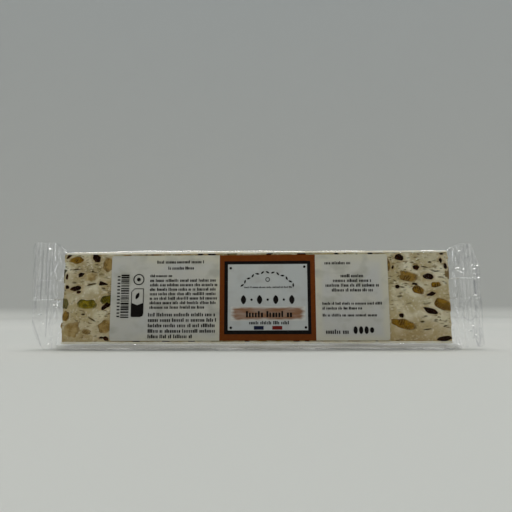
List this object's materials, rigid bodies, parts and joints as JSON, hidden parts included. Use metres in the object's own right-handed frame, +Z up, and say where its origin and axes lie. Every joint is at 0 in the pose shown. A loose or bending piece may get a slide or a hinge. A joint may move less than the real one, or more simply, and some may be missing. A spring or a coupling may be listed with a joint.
{
  "type": "nougat bar",
  "caption": "Slab of white nougat with nuts and caramel bits in a clear flow wrap with crimped ends, standing on its narrow side, with a paper sticker on its front.",
  "frame": {"origin": "middle of the foot that the pack stands on", "axes": "+X along the bar, -Y towards the front with the sticker, +Z up"},
  "size_m": [0.2162, 0.0136, 0.0519],
  "materials": {
    "wrapped_nougat": "cream nougat behind clear glossy film",
    "label_paper": "white, satin, slightly see-through",
    "film": "clear glossy polypropylene film",
    "nougat": "cream, satin, cut face with small pores",
    "wafer": "white edible wafer paper, matte",
    "almond": "cut roasted almond, satin",
    "pistachio": "green pistachio, satin",
    "caramel": "dark brown caramel bits, satin",
    "label_print": "caramel brown, black and grey print on the sticker"
  },
  "bodies": {
    "root": {"film_pack": "wrapped_nougat", "label": "label_paper"}
  },
  "joints": []
}
